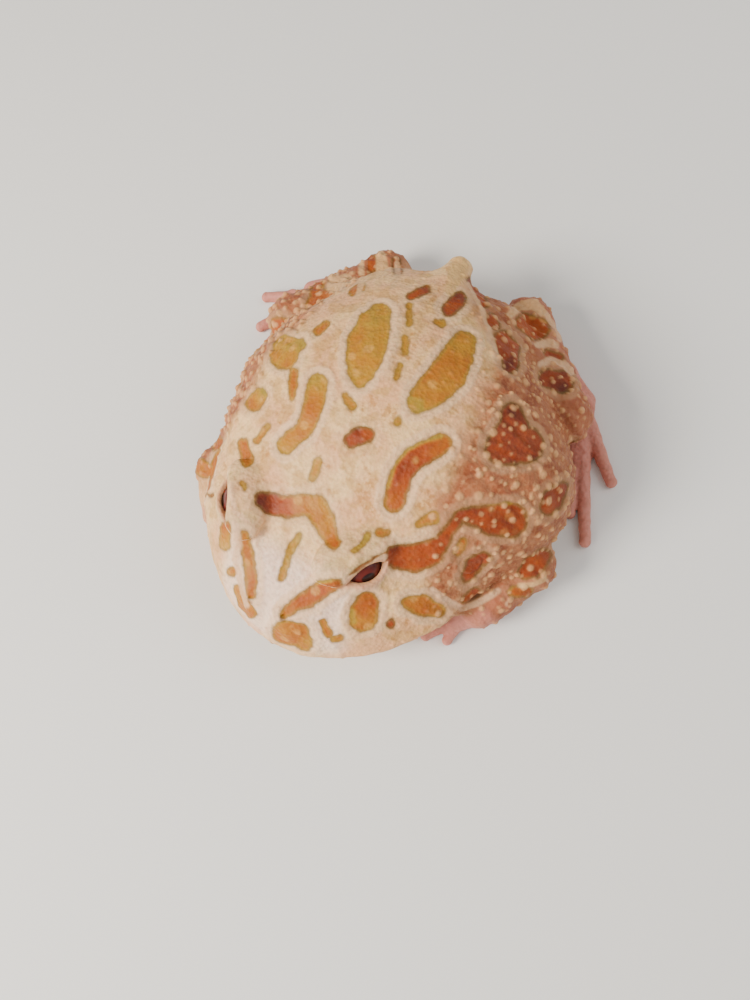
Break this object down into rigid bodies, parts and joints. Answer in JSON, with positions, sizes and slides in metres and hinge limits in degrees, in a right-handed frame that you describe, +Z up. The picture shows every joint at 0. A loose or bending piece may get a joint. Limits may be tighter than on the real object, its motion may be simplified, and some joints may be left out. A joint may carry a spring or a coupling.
{
  "type": "argentine horned frog",
  "caption": "Life-size still model of a pale horned frog sitting flat, with a wide head, low eyelid horns and cream skin with ochre and brown blotches.",
  "frame": {"origin": "on the floor plane, under the middle of the belly, where the belly's flat rests", "axes": "+Z up, -Y the way the frog looks, +X its left side"},
  "size_m": [0.0989, 0.0959, 0.035],
  "materials": {
    "back_skin": "moist satin",
    "lid_skin": "moist satin",
    "limb_skin": "moist satin",
    "hand_skin": "moist satin",
    "ear_skin": "moist satin",
    "eye": "polished"
  },
  "bodies": {
    "root": {"head": "back_skin", "lower_jaw": "back_skin", "torso": "back_skin", "eyelids_left": "lid_skin", "eyelids_right": "lid_skin", "eye_left": "eye", "eye_right": "eye", "tympanum_left": "ear_skin", "tympanum_right": "ear_skin", "upper_arm_left": "limb_skin", "upper_arm_right": "limb_skin", "forearm_left": "limb_skin", "forearm_right": "limb_skin", "hand_left": "hand_skin", "hand_right": "hand_skin", "thigh_left": "limb_skin", "thigh_right": "limb_skin", "shank_left": "limb_skin", "shank_right": "limb_skin", "foot_left": "hand_skin", "foot_right": "hand_skin"}
  },
  "joints": []
}
